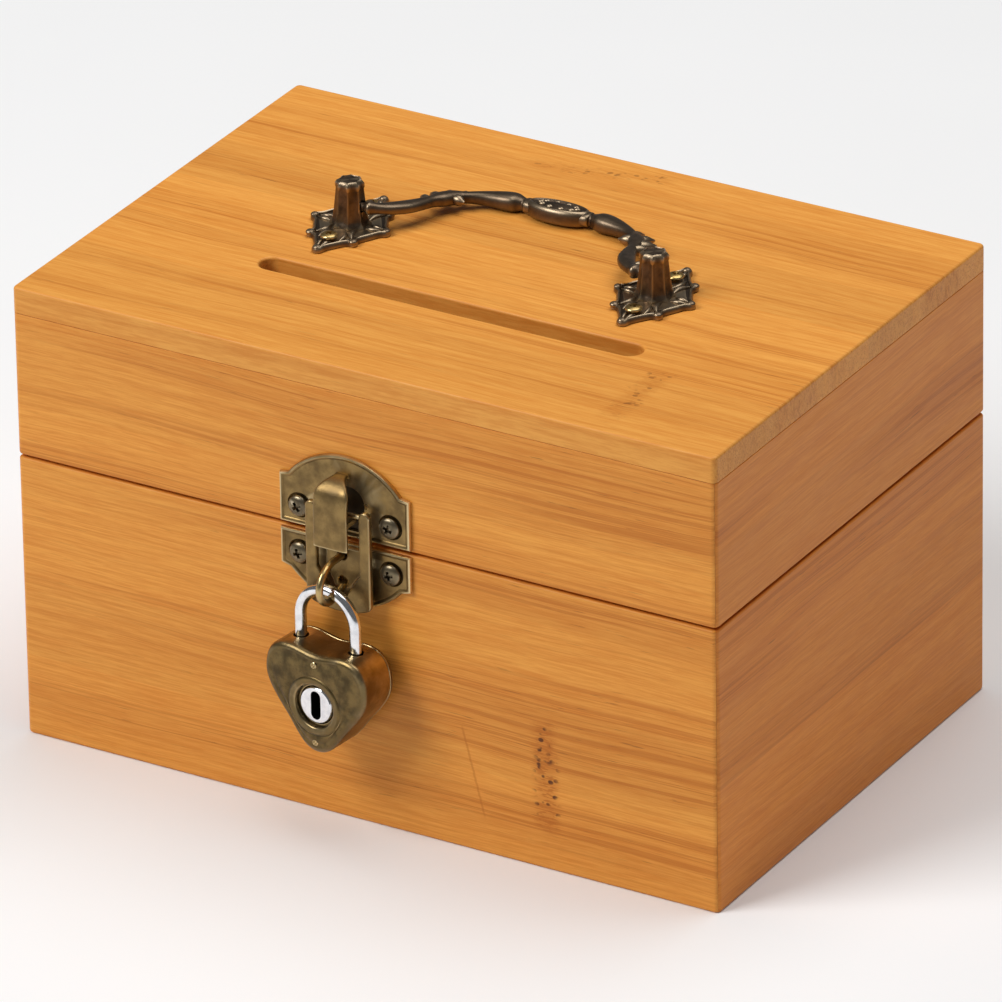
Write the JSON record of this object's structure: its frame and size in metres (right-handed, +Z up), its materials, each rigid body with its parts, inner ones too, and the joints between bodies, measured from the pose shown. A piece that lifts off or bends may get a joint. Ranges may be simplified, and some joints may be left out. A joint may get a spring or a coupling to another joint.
{
  "type": "money box",
  "caption": "Lidded bamboo money box with a coin slot, a bail handle, a swinging hasp and a heart-shaped padlock.",
  "frame": {"origin": "centre of the box's underside, on the surface that it stands on", "axes": "+X along the front to its right-hand end, +Y from the front (hasp) to the back (hinges), +Z up"},
  "size_m": [0.2, 0.157, 0.138],
  "materials": {
    "bamboo": "honey-coloured laminated bamboo, satin lacquer, fine dark streaks along the grain",
    "hasp_bronze": "antique bronze plate, dark in the hollows and rubbed bright along the edges",
    "staple_brass": "antique brass wire",
    "hasp_screws": "dark antique screw heads",
    "handle_bronze": "cast metal, dark antique bronze with warm worn highs",
    "brass_screws": "small brass screw heads",
    "hinge_brass": "brass butt hinge, dull",
    "padlock_bronze": "mottled dark antique bronze with a rubbed brassy edge",
    "rivet_brass": "brass rivet ends",
    "chrome": "polished",
    "spring_steel": "bright steel"
  },
  "bodies": {
    "base": {"base_floor": "bamboo", "base_front_wall": "bamboo", "base_right_wall": "bamboo", "base_back_wall": "bamboo", "base_left_wall": "bamboo", "hinge_base_leaf_left": "hinge_brass", "hinge_base_leaf_right": "hinge_brass", "hinge_pin_left": "hinge_brass", "hinge_pin_right": "hinge_brass", "hinge_screw_left_base_a": "brass_screws", "hinge_screw_left_base_b": "brass_screws", "hinge_screw_right_base_a": "brass_screws", "hinge_screw_right_base_b": "brass_screws", "hasp_lower_plate": "hasp_bronze", "staple_ring": "staple_brass", "hasp_screw_lower_left": "hasp_screws", "hasp_screw_lower_right": "hasp_screws"},
    "lid": {"lid_top_board": "bamboo", "lid_front_rail": "bamboo", "lid_right_rail": "bamboo", "lid_back_rail": "bamboo", "lid_left_rail": "bamboo", "hinge_lid_leaf_left": "hinge_brass", "hinge_lid_leaf_right": "hinge_brass", "hinge_screw_left_lid_a": "brass_screws", "hinge_screw_left_lid_b": "brass_screws", "hinge_screw_right_lid_a": "brass_screws", "hinge_screw_right_lid_b": "brass_screws", "hasp_upper_plate": "hasp_bronze", "hasp_screw_upper_left": "hasp_screws", "hasp_screw_upper_right": "hasp_screws", "handle_post_left": "handle_bronze", "handle_post_right": "handle_bronze", "handle_screw_left_front": "brass_screws", "handle_screw_left_rear": "brass_screws", "handle_screw_right_front": "brass_screws", "handle_screw_right_rear": "brass_screws"},
    "handle": {"handle_bail": "handle_bronze"},
    "hasp": {"hasp_frame": "hasp_bronze", "hasp_crossbar": "hasp_bronze"},
    "shackle": {"padlock_shackle": "chrome"},
    "case": {"padlock_case_front": "padlock_bronze", "padlock_case_back": "padlock_bronze", "padlock_rivet_upper": "rivet_brass", "padlock_rivet_lower": "rivet_brass", "padlock_latch_spring": "spring_steel", "padlock_shackle_spring": "spring_steel"},
    "plug": {"padlock_key_plug": "chrome"},
    "latch": {"padlock_latch": "spring_steel"}
  },
  "joints": [
    {"name": "lid_hinge", "type": "hinge", "parent": "base", "child": "lid", "pos_m": [0, 0.0704, 0.078], "axis": [-1, 0, 0], "range_deg": [0, 105]},
    {"name": "handle_swing", "type": "hinge", "parent": "lid", "child": "handle", "pos_m": [0, 0.001, 0.131], "axis": [1, 0, 0], "range_deg": [0, 195]},
    {"name": "padlock_off", "type": "slide", "parent": "base", "child": "shackle", "axis": [0, -1, 0], "range_m": [0, 0.1]},
    {"name": "hasp_swing", "type": "hinge", "parent": "lid", "child": "hasp", "pos_m": [-0.0041, -0.0726, 0.087], "axis": [-1, 0, 0], "range_deg": [0, 160]},
    {"name": "shackle_lift", "type": "slide", "parent": "shackle", "child": "case", "axis": [0, 0, -1], "range_m": [0, 0.0074], "deforming": ["padlock_shackle_spring"]},
    {"name": "key_turn", "type": "hinge", "parent": "case", "child": "plug", "pos_m": [-0.005, -0.077, 0.0377], "axis": [0.1167, 0.9932, 0], "range_deg": [0, 90]},
    {"name": "latch_slide", "type": "slide", "parent": "case", "child": "latch", "axis": [0.9932, -0.1167, 0], "range_m": [0, 0.0016], "deforming": ["padlock_latch_spring"]}
  ],
  "couplings": [
    {"joint": "hasp_swing", "follows": "padlock_off", "rad_per_m": 27.925},
    {"joint": "key_turn", "follows": "shackle_lift", "rad_per_m": 212.26},
    {"joint": "latch_slide", "follows": "shackle_lift", "ratio": 0.2162}
  ]
}
